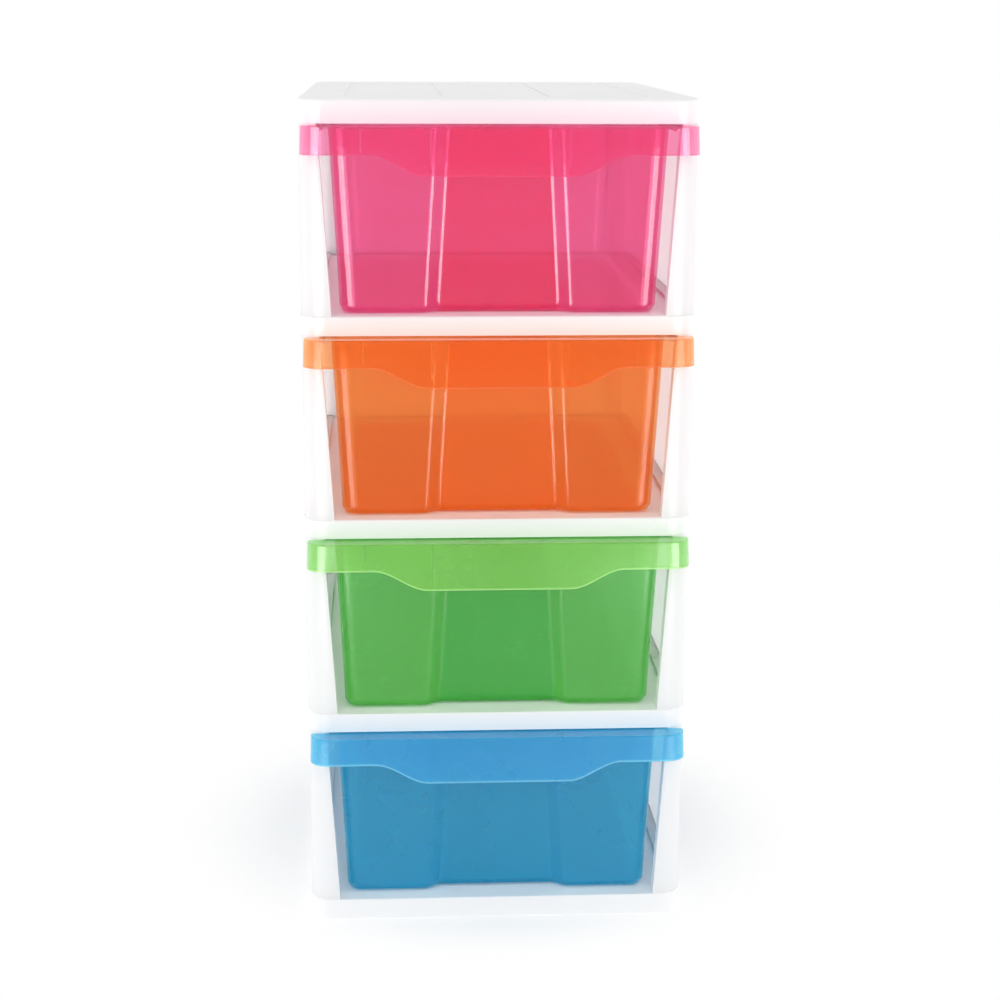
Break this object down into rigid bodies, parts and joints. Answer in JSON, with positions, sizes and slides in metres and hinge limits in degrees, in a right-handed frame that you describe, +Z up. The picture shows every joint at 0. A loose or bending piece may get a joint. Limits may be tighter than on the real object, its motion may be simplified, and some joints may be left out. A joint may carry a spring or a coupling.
{
  "type": "plastic drawer tower",
  "caption": "Free-standing tower of translucent pull-out drawers with curved handle lips, in a white stacked frame of shelves, side panels and back panels.",
  "frame": {"origin": "on the floor, at the middle of the closed tower's footprint, lips included", "axes": "+X to the right seen from the front, +Y to the back (the drawers open towards -Y), +Z up"},
  "size_m": [0.2912, 0.4233, 0.625],
  "materials": {
    "white_shell": "smooth white polypropylene, soft gloss",
    "pink": "translucent pink, glossy",
    "orange": "translucent orange, glossy",
    "green": "translucent green, slightly frosted",
    "blue": "translucent blue, slightly frosted"
  },
  "bodies": {
    "frame": {"base": "white_shell", "shelf_3": "white_shell", "shelf_2": "white_shell", "shelf_1": "white_shell", "lid": "white_shell", "left_side_1": "white_shell", "right_side_1": "white_shell", "back_panel_1": "white_shell", "left_side_2": "white_shell", "right_side_2": "white_shell", "back_panel_2": "white_shell", "left_side_3": "white_shell", "right_side_3": "white_shell", "back_panel_3": "white_shell", "left_side_4": "white_shell", "right_side_4": "white_shell", "back_panel_4": "white_shell"},
    "drawer_1": {"drawer_1": "pink"},
    "drawer_2": {"drawer_2": "orange"},
    "drawer_3": {"drawer_3": "green"},
    "drawer_4": {"drawer_4": "blue"}
  },
  "joints": [
    {"name": "drawer_1_slide", "type": "slide", "parent": "frame", "child": "drawer_1", "axis": [0, -1, 0], "range_m": [0, 0.3]},
    {"name": "drawer_2_slide", "type": "slide", "parent": "frame", "child": "drawer_2", "axis": [0, -1, 0], "range_m": [0, 0.3]},
    {"name": "drawer_3_slide", "type": "slide", "parent": "frame", "child": "drawer_3", "axis": [0, -1, 0], "range_m": [0, 0.3]},
    {"name": "drawer_4_slide", "type": "slide", "parent": "frame", "child": "drawer_4", "axis": [0, -1, 0], "range_m": [0, 0.3]}
  ]
}
